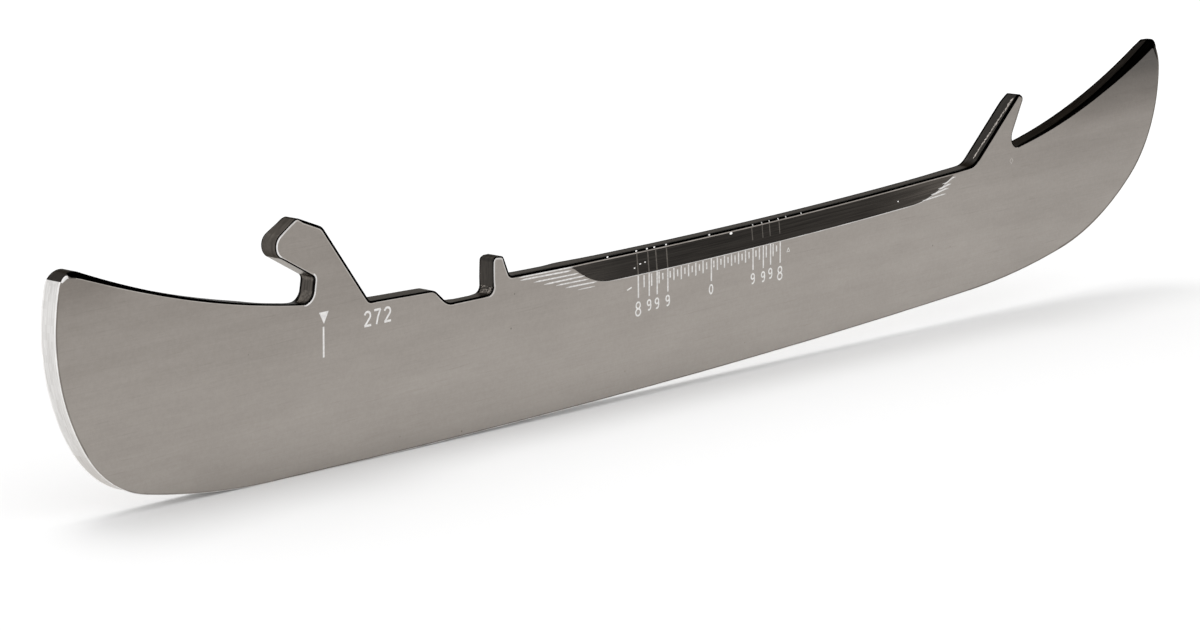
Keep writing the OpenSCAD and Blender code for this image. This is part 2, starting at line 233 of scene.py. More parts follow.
def make_lamp():
    lamp = put_in_scene("soft_lamp", bpy.data.lights.new("soft_lamp", "AREA"))
    lamp.data.size = LAMP_SIZE
    lamp.data.energy = LAMP_POWER
    lamp.location = LAMP_PLACE
    lamp.rotation_mode = "QUATERNION"
    lamp.rotation_quaternion = (-Vector(LAMP_PLACE)).to_track_quat("-Z", "Y")


make_sky()
make_lamp()
print("sky at", SKY_LEVEL, "and a lamp of", LAMP_POWER, "W at", LAMP_PLACE, "m")

# %% [markdown]
# The piece that shows is one fine mesh on the CAD model's outline. It could be cut with boolean
# tools, but then its rims would have no faces of their own to hold a tone. So the outline comes
# first: the side view in millimetres, x along the blade and z above the ice. The ice edge is
# ground, so it is a chain of arcs that touch where their slopes agree: the nearly straight rocker,
# and a lift, a turn and a nose at each end.

# %% The ice edge
TOE_RADII = (200, 57, 23.5)
TOE_SLOPES = (10.3, 37)
HEEL_RADII = (120, 15.5, 30)
HEEL_SLOPES = (13.1, 58)


def rise_of(radius, start, end):
    """How far an arc carries the edge forwards while its slope goes from start to end."""
    return radius * (math.sin(math.radians(end)) - math.sin(math.radians(start)))


def on_arc(centre, radius, slope, way):
    """The point of an arc where the edge has a slope."""
    angle = math.radians(slope)
    x = centre[0] + way * radius * math.sin(angle)
    return np.array([x, centre[1] - radius * math.cos(angle)])


def edge_chain(radii, slopes, way):
    """The rows of the arcs beyond the rocker: way is 1 towards the toe and -1 to the heel."""
    lift, turn, nose = radii
    room = half_length - way * ROCKER_TOUCH - lift * math.sin(math.radians(slopes[0]))
    room -= rise_of(turn, *slopes) + rise_of(nose, slopes[1], 90)
    start = math.degrees(math.asin(room / (ROCKER_RADIUS - lift)))
    centre, before, arcs = np.array([ROCKER_TOUCH, ROCKER_RADIUS]), ROCKER_RADIUS, []
    for radius, slope in zip(radii, (start, *slopes)):
        first = on_arc(centre, before, slope, way)
        centre = on_arc(centre, before - radius, slope, way)
        arcs.append((first, 0, radius, centre))
        before = radius
    return arcs


toe_arcs = edge_chain(TOE_RADII, TOE_SLOPES, 1)
heel_arcs = edge_chain(HEEL_RADII, HEEL_SLOPES, -1)
print("the rocker ends at x =", heel_arcs[0][0][0].round(1), "and", toe_arcs[0][0][0].round(1))

# %% [markdown]
# The edge that sits in the holder could be a long row of arcs, but it is easier to read and to
# change as sharp corners, each with its rounding, as a draughtsman gives them. The table runs from
# the toe's corner over the notch, the toe post, the web, the latch post, the seat, the shelf and
# the rear hook with its gullet to the heel's corner.

# %% The holder edge
WEB_CENTRE = (1, 1972.2)
WEB_RADIUS = 1950
TOE_TOP_RADIUS = 150
HEEL_TOP_RADIUS = 163
TOE_TIP_HEIGHT = 41.35
HEEL_TIP_HEIGHT = 37.3


def nose_at(arc, height, way):
    _, _, radius, centre = arc
    return np.array([centre[0] + way * math.sqrt(radius**2 - (height - centre[1]) ** 2), height])


def hollow_centre(start, end, radius):
    """Centre of a hollow arc from start to end. It lies outside the steel, to the right."""
    along = end - start
    reach = np.linalg.norm(along)
    right = np.array([along[1], -along[0]]) / reach
    return (start + end) / 2 + right * math.sqrt(radius**2 - (reach / 2) ** 2)


toe_tip = nose_at(toe_arcs[2], TOE_TIP_HEIGHT, 1)
heel_tip = nose_at(heel_arcs[2], HEEL_TIP_HEIGHT, -1)
notch = np.array([83.1, 24.8])
gullet = np.array([-90.74, 25.4])

# Each row: the edge that starts here, its sharp corner and its rounding, then the edge's radius
# (0 is straight and negative is hollow) and centre
corners = [
    ("rocker", heel_arcs[0][0], 0, ROCKER_RADIUS, (ROCKER_TOUCH, ROCKER_RADIUS)),
    ("toe_lift", *toe_arcs[0]),
    ("toe_turn", *toe_arcs[1]),
    ("toe_nose", *toe_arcs[2]),
    ("toe_top", toe_tip, 2.4, -TOE_TOP_RADIUS, hollow_centre(toe_tip, notch, TOE_TOP_RADIUS)),
    ("post_front", notch, 1.9, 0, None),
    ("post_tip", (88.263, 34.0), 0.7, 0, None),
    ("post_rear", (86.763, 34.9), 0.7, 0, None),
    ("web_top", (72.867, 23.526), 4.5, -WEB_RADIUS, WEB_CENTRE),
    ("latch_front", (-50.24, 22.873), 1.0, 0, None),
    ("latch_top", (-51.75, 26.2), 0.75, 0, None),
    ("latch_rear", (-53.85, 26.2), 0.75, 0, None),
    ("seat", (-53.85, 20.8), 1.0, 0, None),
    ("step", (-63.6, 20.95), 2.6, 0, None),
    ("shelf", (-66.45, 23.4), 2.2, 0, None),
    ("hook_front", (-79.65, 23.9), 1.0, 0, None),
    ("hook_top", (-88.62, 35.85), 2.0, 0, None),
    ("hook_nose", (-93.42, 37.75), 0.8, 0, None),
    ("hook_lip", (-99.3, 34.1), 1.9, 0, None),
    ("gullet_wall", (-90.1185, 28.9245), 0.8, 0, None),
    ("heel_top", gullet, 1.7, -HEEL_TOP_RADIUS, hollow_centre(gullet, heel_tip, HEEL_TOP_RADIUS)),
    ("heel_nose", heel_tip, 2.3, *heel_arcs[2][2:]),
    ("heel_turn", heel_arcs[2][0], *heel_arcs[1][1:]),
    ("heel_lift", heel_arcs[1][0], *heel_arcs[0][1:]),
]
corners = [(name, np.array(p, float), r, bend, None if c is None else np.array(c, float))
           for name, p, r, bend, c in corners]
order = [name for name, *_ in corners]
print(len(corners), "edges, from", order[0], "round to", order[-1])

# %% [markdown]
# A bevel modifier could round the corners, but not exactly where a line meets an arc. A rounding
# touches both of its edges, so its centre lies its radius away from each. A few Newton steps find
# that place for any pair: each asks how deep the point lies in each edge and moves it by what is
# missing.

# %% Round the corners
NEWTON_STEPS = 20


def unit(vector):
    return vector / np.linalg.norm(vector)


def depth_in(index, point):
    """How deep a point lies inside an edge, and the direction that leads further in."""
    _, start, _, bend, centre = corners[index % len(corners)]
    if bend == 0:
        end = corners[(index + 1) % len(corners)][1]
        inward = unit(np.array([start[1] - end[1], end[0] - start[0]]))
        return inward @ (point - start), inward
    away = point - centre
    gap = np.linalg.norm(away)
    return (bend - gap, -away / gap) if bend > 0 else (gap + bend, away / gap)


def rounding(index):
    """Where the rounding at a corner leaves one edge and meets the next, its radius and centre.
    The radius is negative where the corner is hollow."""
    _, corner, radius, _, _ = corners[index]
    if radius == 0:
        return corner, corner, 0, None
    before, after = (depth_in(side, corner)[1] for side in (index - 1, index))
    turn = np.sign(before[0] * after[1] - before[1] * after[0])
    point = corner.copy()
    for _ in range(NEWTON_STEPS):
        (depth_a, in_a), (depth_b, in_b) = depth_in(index - 1, point), depth_in(index, point)
        missing = np.array([turn * radius - depth_a, turn * radius - depth_b])
        point = point + np.linalg.solve(np.array([in_a, in_b]), missing)
    return point - turn * radius * in_a, point - turn * radius * in_b, turn * radius, point


rounds = [rounding(index) for index in range(len(corners))]
lip = rounds[order.index("hook_lip")]
print("the hook's lip is rounded about", lip[3].round(2), "with a radius of", lip[2])

# %% [markdown]
# The outline is walked once round, and points are set about a millimetre apart on long edges and a
# few degrees apart on roundings. A curve object would place its points by itself, but later cells
# need each point's outward normal, edge name and distance along the outline. The heel corner's
# rounding is given a dark cap of painted shade, a light facet of painted highlight and the nose's
# start, and is named so.

# %% Walk the outline
STEP = 1.0
STEP_DEGREES = 9
HEEL_PARTS = ("heel_cap", "heel_facet", "heel_nose")
HEEL_PARTS_PACE = 2.6


def walk(start, end, bend, centre):
    """Points and outward normals from start up to, but not including, end."""
    if bend == 0:
        along = end - start
        reach = np.linalg.norm(along)
        count = max(1, round(reach / STEP))
        normal = np.array([along[1], -along[0]]) / reach
        return [(start + along * k / count, normal) for k in range(count)]
    first, last = (math.atan2(*(point - centre)[::-1]) for point in (start, end))
    sweep = (last - first) % (2 * math.pi) if bend > 0 else -((first - last) % (2 * math.pi))
    count = max(2, round(abs(sweep * bend) / STEP), round(abs(math.degrees(sweep)) / STEP_DEGREES))
    spokes = [first + sweep * k / count for k in range(count)]
    rays = [np.array([math.cos(angle), math.sin(angle)]) for angle in spokes]
    return [(centre + abs(bend) * ray, ray * np.sign(bend)) for ray in rays]


outline = []
for index, (name, _, _, bend, centre) in enumerate(corners):
    arrive, leave, round_bend, round_centre = rounds[index]
    if round_bend:
        turned = walk(arrive, leave, round_bend, round_centre)
        outline += [(point, normal, name + "_corner") for point, normal in turned]
    stop = rounds[(index + 1) % len(corners)][0]
    outline += [(point, normal, name) for point, normal in walk(leave, stop, bend, centre)]
points = np.array([point for point, _, _ in outline])
normals = np.array([normal for _, normal, _ in outline])
names = [name for _, _, name in outline]
heel_round = [index for index, name in enumerate(names) if name == "heel_nose_corner"]
for place, index in enumerate(heel_round):
    names[index] = HEEL_PARTS[min(2, int(place / len(heel_round) * HEEL_PARTS_PACE))]
steps = np.linalg.norm(np.roll(points, -1, axis=0) - points, axis=1)
run = np.concatenate([[0], np.cumsum(steps)[:-1]])
length = round(float(steps.sum()), 1)
print(len(points), "points round", length, "mm; height", points[:, 1].max().round(2))

# %% [markdown]
# Each edge has its own look, from how it was cut and where it faces. From the face across the steel
# there are a thin light rim, a dark strip that is the broken edge, a dark border, and the side
# surface itself. Their tones are painted light and shade by where each edge faces: the light rim is
# a painted highlight, and the dark strip is dark oxide deepened by painted shade. A noise pattern
# couldn't tell a post from a hook, so the looks are kept in a table: widths in millimetres, tones
# as screen levels from 0 to 255. Where two edges meet, the values are blended.

# %% The look of each edge
# name: side tone | border width, tone | dark strip width, tone | light rim width, tone
# The tones below are painted light and shade by where each edge faces.
LOOKS = {
    "rocker": (205, 0.20, 235, 0.10, 226, 0.12, 104),
    "toe_lift": (190, 0.20, 220, 0.10, 200, 0.16, 106),
    "toe_turn": (170, 0.20, 170, 0.08, 160, 0.30, 120),
    "toe_nose": (150, 0.20, 120, 0.08, 116, 0.40, 118),
    "toe_top_corner": (24, 0.30, 6, 0.10, 7, 0.10, 9),
    "toe_top": (40, 0.30, 6, 0.10, 7, 0.10, 9),
    "post_front_corner": (28, 0.20, 8, 0.25, 9, 0.12, 150),
    "post_front": (30, 0.15, 20, 0.08, 60, 0.36, 118),
    "post_tip": (14, 0.25, 6, 0.32, 7, 0.12, 140),
    "post_rear": (42, 0.34, 7, 0.44, 8, 0.10, 140),
    "web_top_corner": (46, 0.28, 8, 0.38, 8, 0.12, 160),
    "web_top": (72, 0.45, 12, 0.36, 6, 0.17, 150),
    "latch_front": (20, 0.12, 8, 0.34, 7, 0.18, 178),
    "latch_top": (42, 0.16, 12, 0.22, 10, 0.25, 205),
    "latch_rear": (66, 0.13, 14, 0.06, 26, 0.24, 210),
    "seat_corner": (86, 0.20, 22, 0.14, 14, 0.30, 195),
    "seat": (76, 0.20, 10, 0.28, 7, 0.14, 168),
    "step": (24, 0.12, 8, 0.34, 6, 0.14, 168),
    "shelf": (70, 0.20, 10, 0.28, 7, 0.12, 166),
    "hook_front": (16, 0.12, 6, 0.38, 5, 0.16, 170),
    "hook_top": (14, 0.15, 6, 0.38, 5, 0.14, 166),
    "hook_nose": (74, 0.14, 14, 0.06, 26, 0.24, 204),
    "hook_lip_corner": (80, 0.15, 12, 0.08, 20, 0.26, 212),
    "hook_lip": (124, 0.12, 70, 0.20, 20, 0.10, 174),
    "gullet_wall_corner": (100, 0.20, 30, 0.20, 20, 0.24, 228),
    "gullet_wall": (76, 0.50, 24, 0.08, 40, 0.24, 214),
    "heel_top_corner": (88, 0.35, 32, 0.12, 30, 0.24, 226),
    "heel_top": (14, 0.16, 6, 0.33, 5, 0.10, 168),
    "heel_cap": (52, 0.20, 30, 0.85, 6, 0.08, 90),
    "heel_facet": (56, 0.20, 48, 0.05, 60, 0.52, 216),
    "heel_nose": (212, 0.22, 236, 0.05, 228, 0.22, 120),
    "heel_turn": (200, 0.24, 246, 0.08, 240, 0.12, 146),
    "heel_lift": (195, 0.20, 240, 0.08, 230, 0.12, 136),
}
DARK_WIDTH, LIGHT_WIDTH = 3, 5
WIDTH_BLEND = 0.8
TONE_BLEND = 0.3


def look_of(name):
    """An edge's own look, or for a corner without one the mean of its two edges' looks."""
    if name in LOOKS:
        return np.array(LOOKS[name], float)
    after = order.index(name.removesuffix("_corner"))
    return (np.array(LOOKS[order[after - 1]]) + np.array(LOOKS[order[after]])) / 2


def blend(values, reach):
    """Values along the outline, each averaged over its neighbours within reach."""
    total = float(steps.sum())
    gap = np.abs(run[:, None] - run[None, :])
    gap = np.minimum(gap, total - gap)
    spacing = (steps + np.roll(steps, 1)) / 2
    weight = np.clip(1 - gap / reach, 0, None) * spacing
    return weight @ values / weight.sum(axis=1, keepdims=values.ndim > 1)


looks = np.array([look_of(name) for name in names])
looks[:, 1::2] = blend(looks[:, 1::2], WIDTH_BLEND)
looks[:, 0::2] = blend(looks[:, 0::2], TONE_BLEND)
print("looks of", len(LOOKS), "edges and corners, blended at", len(looks), "points")

# %% [markdown]
# Two wide, shallow bevels lie on the face. The relief along the web fades in and out where the
# grinding wheel left the steel, with a painted highlight as a light line along its foot. The black
# bevel of the toe turns down round the toe's corner. They could be painted on, but real slopes
# catch the light in every view. Tables of (place, width) shape them and the dark strip of the
# heel's top.

# %% Wide bevels
RELIEF_DEPTH = 0.25
RELIEF_WIDTH = 3.33
RELIEF_REAR = (-36.2, -27)
RELIEF_FRONT = (66.2, 53.5)
RELIEF_TONES = [(-32, 60), (-24, 52), (0, 50), (40, 54), (52, 66), (62, 78)]
# The foot line's tone is a painted highlight.
FOOT_WIDTH = 0.12
FOOT_HIGHLIGHT_TONE = 205
FOOT_REAR = (-30, -24)
FOOT_FRONT_PACE = 2
BEVEL_SLOPE = 0.33
BEVEL_TONE = 15
BEVEL_BLEND = 0.6
TOE_BEVEL = [(83, 0.0), (86, 0.1), (92, 0.2), (100, 0.35), (108, 0.52), (116, 0.75), (124, 1.15),
             (128, 1.4), (132, 1.6)]
TOE_FADE = [(34.5, 0.0), (35.6, 0.1), (36.5, 0.35), (37.3, 0.8), (39.0, 1.6)]
HEEL_STRIP = [(-133.5, 0.85), (-128, 0.62), (-120, 0.44), (-108, 0.32), (-98, 0.22), (-92, 0.2)]


def table_value(table, place):
    return float(np.interp(place, *zip(*table)))


def ease(share):
    """1 at share 0, falling like a parabola to 0 at share 1."""
    return max(0.0, 1 - max(0.0, share) ** 2)


def wide_bevel(name, x, z):
    """Width on the face, depth and foot line of the wide bevel at a place."""
    if name == "web_top":
        rear = ease((RELIEF_REAR[1] - x) / (RELIEF_REAR[1] - RELIEF_REAR[0]))
        front = ease((x - RELIEF_FRONT[1]) / (RELIEF_FRONT[0] - RELIEF_FRONT[1]))
        share = min(rear, front)
        begun = max(0.0, (x - FOOT_REAR[0]) / (FOOT_REAR[1] - FOOT_REAR[0]))
        foot = FOOT_WIDTH * min(1.0, FOOT_FRONT_PACE * front) * min(1.0, begun)
        return RELIEF_WIDTH * share, RELIEF_DEPTH * share, foot
    if name in ("toe_top", "toe_top_corner", "toe_nose"):
        width = table_value(TOE_FADE, z) if name == "toe_nose" else table_value(TOE_BEVEL, x)
        return width, width * BEVEL_SLOPE, 0.0
    return 0.0, 0.0, 0.0


bevels = np.array([wide_bevel(name, *point) for name, point in zip(names, points)])
bevels = np.where(np.array(names)[:, None] == "web_top", bevels, blend(bevels, BEVEL_BLEND))
for index, name in enumerate(names):
    if name == "heel_top":
        looks[index, DARK_WIDTH] = table_value(HEEL_STRIP, points[index][0])
print("widest bevels:", bevels.max(axis=0).round(2))

# %% [markdown]
# The rear rims are rolled over a little, as those of sheared plate often are. It shows only as a
# far outline that lies a little inside. A bevel modifier would soften the crisp front rims as well,
# so each edge gets its own roll at the back: how far in it goes and how deep across the thickness,
# in millimetres.

# %% Rolled rear rims
ROLLS = {
    "toe_top_corner": (0.7, 1.3),
    "post_tip": (0.4, 0.7),
    "post_rear_corner": (0.9, 0.9),
    "web_top": (0.12, 0.35),
    "latch_top": (0.15, 0.3),
    "latch_top_corner": (0.3, 0.5),
    "latch_rear": (0.1, 0.14),
    "latch_rear_corner": (0.3, 0.4),
    "seat": (0.4, 1.2),
    "shelf": (0.2, 0.4),
    "shelf_corner": (0.3, 0.5),
    "hook_top": (0.2, 0.35),
    "hook_nose": (0.22, 0.3),
    "hook_nose_corner": (0.35, 0.9),
    "heel_top": (0.15, 0.4),
    "heel_cap": (0.35, 0.5),
    "heel_facet": (0.3, 0.35),
}
LATCH_ROLL, LATCH_ROLL_END = (0.3, 0.8), -39
GULLET_ROLL, GULLET_ROLL_START = (0.35, 1.9), -102
PLAIN_ROLL = (0.06, 0.08)
ROLL_BLEND = 2.5


def roll_of(name, x):
    if name == "web_top" and x < LATCH_ROLL_END:
        return LATCH_ROLL
    if name == "heel_top" and x > GULLET_ROLL_START:
        return GULLET_ROLL
    return ROLLS.get(name, PLAIN_ROLL)


rolls = np.array([roll_of(name, point[0]) for name, point in zip(names, points)])
rolls = blend(rolls, ROLL_BLEND)
print("deepest roll:", rolls[:, 1].max().round(2), "mm")

# %% [markdown]
# Each point of the outline gets its profile across the steel, as pairs of inset and y. The face
# lies a hair inside the true thickness, so that marks can stand on it and still fit. A wheel with a
# rounded rim grinds the ice edge hollow and leaves a sharp rim on each side. A boolean cut could
# make the hollow too, but in the profile it ends exactly at the rims.

# %% The profile at each point
FACE = half_thick - 0.012
RIM_DROP = 0.02
STRIP_DROP = 0.04
HOLLOW_RADIUS = 12.7
LAND = 0.1
ACROSS = 10
ICE_EDGES = ("rocker", "toe_lift", "toe_turn", "toe_nose", "heel_nose", "heel_turn", "heel_lift")
hollow_start = math.sqrt(HOLLOW_RADIUS**2 - (half_thick - LAND) ** 2)


def hollow(name, y):
    """How deep the hollow of the ice edge is at a place across the steel."""
    if name not in ICE_EDGES:
        return 0.0
    return max(0.0, math.sqrt(HOLLOW_RADIUS**2 - y**2) - hollow_start)


def profile(index):
    """The profile from the front face to the back face, as (inset from the outline, y) pairs."""
    name = names[index]
    _, border, _, dark, _, light, _ = looks[index]
    width, depth, foot = bevels[index]
    roll_in, roll_deep = min(rolls[index][0], dark + light), rolls[index][1]
    rim = FACE - depth - RIM_DROP - STRIP_DROP
    far_rim = FACE - depth - roll_deep
    bevel = [
        (dark + light + width + foot, FACE),
        (dark + light + width, FACE),
        (dark + light, FACE - depth),
    ]
    front = [(dark, FACE - depth - RIM_DROP), (0.0, rim)]
    front += [(hollow(name, rim - border), rim - border)]
    back = [
        (roll_in, FACE - depth - RIM_DROP / 2),
        (0.0, far_rim),
        (hollow(name, far_rim - border), far_rim - border),
    ]
    spots = np.linspace(rim - border, border - far_rim, ACROSS + 1)[1:-1]
    middle = [(hollow(name, y), -y) for y in spots]
    return [(inset, -y) for inset, y in bevel + front] + middle + (bevel + back)[::-1]


profiles = np.array([profile(index) for index in range(len(points))])
print("each point has a profile of", profiles.shape[1], "places")

# %% [markdown]
# Each face of the mesh gets one of six finishes and a tone, by the strip it lies in; the tone
# carries the painted light and shade of each edge and the relief's painted foot highlight. A
# texture could hold the tones, but a value on the face is sharper at the strips' borders and needs
# no image. The tone jumps a little from face to face, most in the blotchy corner under the latch
# post.

# %% Finish and tone of a face
FINISHES = ["ground_face", "sharpened_edge", "relief", "toe_bevel", "holder_edge", "broken_edge"]
FOOT_STRIP, BEVEL_STRIP, LIGHT_STRIP, DARK_STRIP, BORDER_STRIP = range(5)
PLAIN_BLOTCHES = 0.03
BLOTCHES = {
    "seat_corner": 0.55,
    "gullet_wall": 0.12,
    "gullet_wall_corner": 0.12,
    "heel_top_corner": 0.12,
}
chance = random.Random(7)


def finish_and_tone(index, strip):
    side, _, border_tone, _, dark_tone, _, light_tone = looks[index]
    name = names[index]
    # The relief's foot line is a painted highlight.
    if strip == FOOT_STRIP:
        return "broken_edge", FOOT_HIGHLIGHT_TONE
    if strip == BEVEL_STRIP and name == "web_top":
        return "relief", table_value(RELIEF_TONES, points[index][0])
    if strip == BEVEL_STRIP:
        return "toe_bevel", BEVEL_TONE
    # The light rim and the dark strip carry painted highlight and painted shade.
    if strip == LIGHT_STRIP:
        return "broken_edge", light_tone
    if strip == DARK_STRIP:
        return "broken_edge", dark_tone
    tone = border_tone if strip == BORDER_STRIP else side
    tone *= 1 + BLOTCHES.get(name, PLAIN_BLOTCHES) * chance.uniform(-1, 1)
    bright = name in ICE_EDGES or name == "hook_lip"
    return ("sharpened_edge" if bright else "holder_edge"), tone


print(len(FINISHES), "finishes; the blotchiest place is", max(BLOTCHES, key=BLOTCHES.get))

# %% [markdown]
# The profiles are joined into one closed skin. Modifiers could do it, but bmesh gives each face its
# own tone as it is made: a grid of four-sided faces round the edge, and one flat face on each side.
# Where a strip has faded to nothing its corners fall together and are merged. The place along the
# outline goes into each vertex, so that grinding lines can follow the edge.

# %% Build the runner's mesh
MERGE = 1e-7


def add_rings(build):
    """The vertices: one ring across the steel for each point of the outline."""
    place = build.verts.layers.float_vector.new("grind")
    rings = []
    for index, (point, normal) in enumerate(zip(points, normals)):
        ring = []
        for inset, y in profiles[index]:
            x, z = point - normal * inset
            vertex = build.verts.new((x * MM, y * MM, z * MM))
            vertex[place] = (run[index], y, inset)
            ring.append(vertex)
        rings.append(ring)
    return rings


def add_faces(build, rings):
    """The grid between the rings, face by face with its finish and tone, and the flat faces."""
    tone = build.faces.layers.float.new("tone")
    last = len(rings[0]) - 2
    for index, ring in enumerate(rings):
        following = rings[(index + 1) % len(rings)]
        for column in range(last + 1):
            corner = (ring[column], following[column], following[column + 1], ring[column + 1])
            face = build.faces.new(corner)
            finish, level = finish_and_tone(index, min(column, last - column))
            face.material_index = FINISHES.index(finish)
            face[tone] = level / 255
    build.faces.new([ring[0] for ring in reversed(rings)])
    build.faces.new([ring[-1] for ring in rings])


def shade(build):
    """Smooth faces, with a sharp edge wherever two finishes meet."""
    for face in build.faces:
        face.smooth = True
    for rim in build.edges:
        faces = rim.link_faces
        if len(faces) == 2 and faces[0].material_index != faces[1].material_index:
            rim.smooth = False


def build_runner():
    build = bmesh.new()
    add_faces(build, add_rings(build))
    bmesh.ops.remove_doubles(build, verts=build.verts, dist=MERGE)
    bmesh.ops.recalc_face_normals(build, faces=build.faces)
    shade(build)
    mesh = bpy.data.meshes.new("steel_runner")
    build.to_mesh(mesh)
    build.free()
    return put_in_scene("steel_runner", mesh)


runner = build_runner()
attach(runner, "root")
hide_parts(NODE)
print("runner:", len(runner.data.vertices), "vertices and", len(runner.data.polygons), "faces")

# %% [markdown]
# The marks are etched by laser, as pale strokes. A material could draw them, but shapes keep crisp
# ends and are part of the model's geometry. Each stroke is a ribbon along a path, on a plane given
# by an origin and two directions. It stands a few thousandths of a millimetre proud, and neighbours
# differ a little in height, as two faces in one plane flicker.

# %% Ribbons
PROUD = 0.004
SUNK = 0.02
STAGGER = 0.0005
STAGGERS = 8
POINT_SHARE = 0.2
AHEAD, UP = np.array([1, 0, 0]), np.array([0, 0, 1])
front_plane = (np.array([0, -FACE, 0]), AHEAD, UP)


def ribbon(path, width, pointed=False):
    """The outline of a stroke along a path, with square ends or pointed ones."""
    path = np.array(path, float)
    ahead = np.gradient(path, axis=0)
    ahead /= np.linalg.norm(ahead, axis=1, keepdims=True)
    aside = np.stack([-ahead[:, 1], ahead[:, 0]], axis=1) * width / 2
    if pointed:
        aside[0] *= POINT_SHARE
        aside[-1] *= POINT_SHARE
    return np.concatenate([path + aside, (path - aside)[::-1]])


def oval(centre, across, up, sides=14):
    angles = np.arange(sides) * 2 * math.pi / sides
    return np.array(centre) + np.stack([across * np.cos(angles), up * np.sin(angles)], axis=1)


def inlay(name, shapes, planes, material):
    """A piece made of thin flat shapes, all on one plane of the steel or each on its own."""
    build = bmesh.new()
    for number, shape in enumerate(shapes):
        origin, along, up = planes[number] if isinstance(planes, list) else planes
        outward = unit(np.cross(along, up))
        lift = PROUD + STAGGER * (number % STAGGERS)
        flat = [origin + along * u + up * v for u, v in shape]
        top = [build.verts.new(tuple((point + outward * lift) * MM)) for point in flat]
        base = [build.verts.new(tuple((point - outward * SUNK) * MM)) for point in flat]
        build.faces.new(top)
        build.faces.new(base[::-1])
        for k in range(len(top)):
            following = (k + 1) % len(top)
            build.faces.new((top[k], base[k], base[following], top[following]))
    bmesh.ops.recalc_face_normals(build, faces=build.faces)
    mesh = bpy.data.meshes.new(name)
    build.to_mesh(mesh)
    build.free()
    mesh.materials.append(material)
    piece = put_in_scene(name, mesh)
    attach(piece, "root")
    return piece


print("a ribbon of three points has", len(ribbon([(0, 0), (1, 0), (2, 1)], 0.3)), "corners")

# %% [markdown]
# Every finish on the blade comes from an abrasive that ran along it, so they share one effect: fine
# parallel lines. Anisotropic gloss would give the sheen but no lines, so stretched noise draws
# them. A second effect turns a tone, the screen level from 0 to 1, into steel's slightly warm
# colour. Both are node groups, built once and placed in each material with its own values.

# %% Shared effects: grinding lines and steel's colour
WARMTH = 6 / 255
SCREEN_GAMMA = 2.2
BAND_SCALE = 0.12


def make_grind_lines():
    """Place in, fine Lines and broad Bands out."""
    group, inputs, outputs = start_group(
        "grind_lines",
        [("Place", "Vector"), ("Fineness", "Float", 8.0), ("Length", "Float", 60.0)],
        [("Lines", "Float"), ("Bands", "Float")],
    )
    fine = inputs.outputs["Fineness"]
    along = math_node(group, "DIVIDE", fine, inputs.outputs["Length"])
    factors = add(group, "ShaderNodeCombineXYZ", {"X": along, "Y": fine, "Z": fine}).outputs[0]
    drawn = stretch(group, inputs.outputs["Place"], factors)
    group.links.new(noise(group, drawn, 1.0, 4.0, 0.7), outputs.inputs["Lines"])
    group.links.new(noise(group, drawn, BAND_SCALE, 3.0, 0.6), outputs.inputs["Bands"])
    return group


def make_steel_colour():
    """Tone in, Color out. Dark and pale tones lean less to warm."""
    group, inputs, outputs = start_group(
        "steel_colour", [("Tone", "Float", 0.5)], [("Color", "Color")]
    )
    tone = inputs.outputs["Tone"]
    rise, fall = remap(group, tone, 0.0, 0.5), remap(group, tone, 0.62, 0.85, 1, 0.3)
    warm = math_node(group, "MULTIPLY", math_node(group, "MULTIPLY", rise, fall), WARMTH)
    shades = []
    for side in (1, 0, -1):
        lean = math_node(group, "ADD", tone, math_node(group, "MULTIPLY", warm, side))
        lit = math_node(group, "MAXIMUM", lean, 0.0)
        shades.append(math_node(group, "POWER", lit, SCREEN_GAMMA))
    channels = dict(zip(("Red", "Green", "Blue"), shades))
    colour = add(group, "ShaderNodeCombineColor", channels)
    group.links.new(colour.outputs["Color"], outputs.inputs["Color"])
    return group


grind_lines = make_grind_lines()
steel_colour = make_steel_colour()
print("groups:", grind_lines.name, "and", steel_colour.name)

# %% [markdown]
# The edge finishes read each face's tone, which holds the edge's painted light and shade, and the
# grinding lines vary it a little. They differ only in values, so one function and a table replace
# five materials made by hand. Seen at a low angle, bare metal turns into a mirror. Oxide prevents
# that, and the specular tint stands for it: the lower it is, the darker a surface stays from the
# side.

# %% Edge finishes
GRAZING_WARMTH = (1.02, 1, 0.97)
# name: roughness, how much the lines vary the tone, fineness, length, specular tint
EDGE_VALUES = {
    "sharpened_edge": (0.30, 0.04, 6, 40, 0.88),
    "relief": (0.28, 0.14, 5, 90, 0.38),
    "toe_bevel": (0.28, 0.25, 4, 60, 0.38),
    "holder_edge": (0.38, 0.12, 3, 20, 0.40),
    "broken_edge": (0.38, 0.10, 3, 12, 0.38),
}


def steel_of(tree, tone):
    return add(tree, "ShaderNodeGroup", {"Tone": tone}, node_tree=steel_colour).outputs["Color"]


def edge_steel(name, rough, spread, fineness, length, grazing):
    """A finish whose tone comes from the mesh."""
    material, tree, shader = start_material(name)
    shader.inputs["Metallic"].default_value = 1.0
    tint = [share * grazing for share in GRAZING_WARMTH]
    shader.inputs["Specular Tint"].default_value = (*tint, 1)
    place = add(tree, "ShaderNodeAttribute", attribute_name="grind").outputs["Vector"]
    tone = add(tree, "ShaderNodeAttribute", attribute_name="tone").outputs["Fac"]
    links = {"Place": place, "Fineness": fineness, "Length": length}
    lines = add(tree, "ShaderNodeGroup", links, node_tree=grind_lines)
    share = widen(tree, lines.outputs["Lines"], 1 - spread, 1 + spread)
    colour = steel_of(tree, math_node(tree, "MULTIPLY", tone, share))
    tree.links.new(colour, shader.inputs["Base Color"])
    tree.links.new(math_node(tree, "MULTIPLY", share, rough), shader.inputs["Roughness"])
    return material


edge_finishes = {name: edge_steel(name, *values) for name, values in EDGE_VALUES.items()}
print("edge finishes:", ", ".join(edge_finishes))
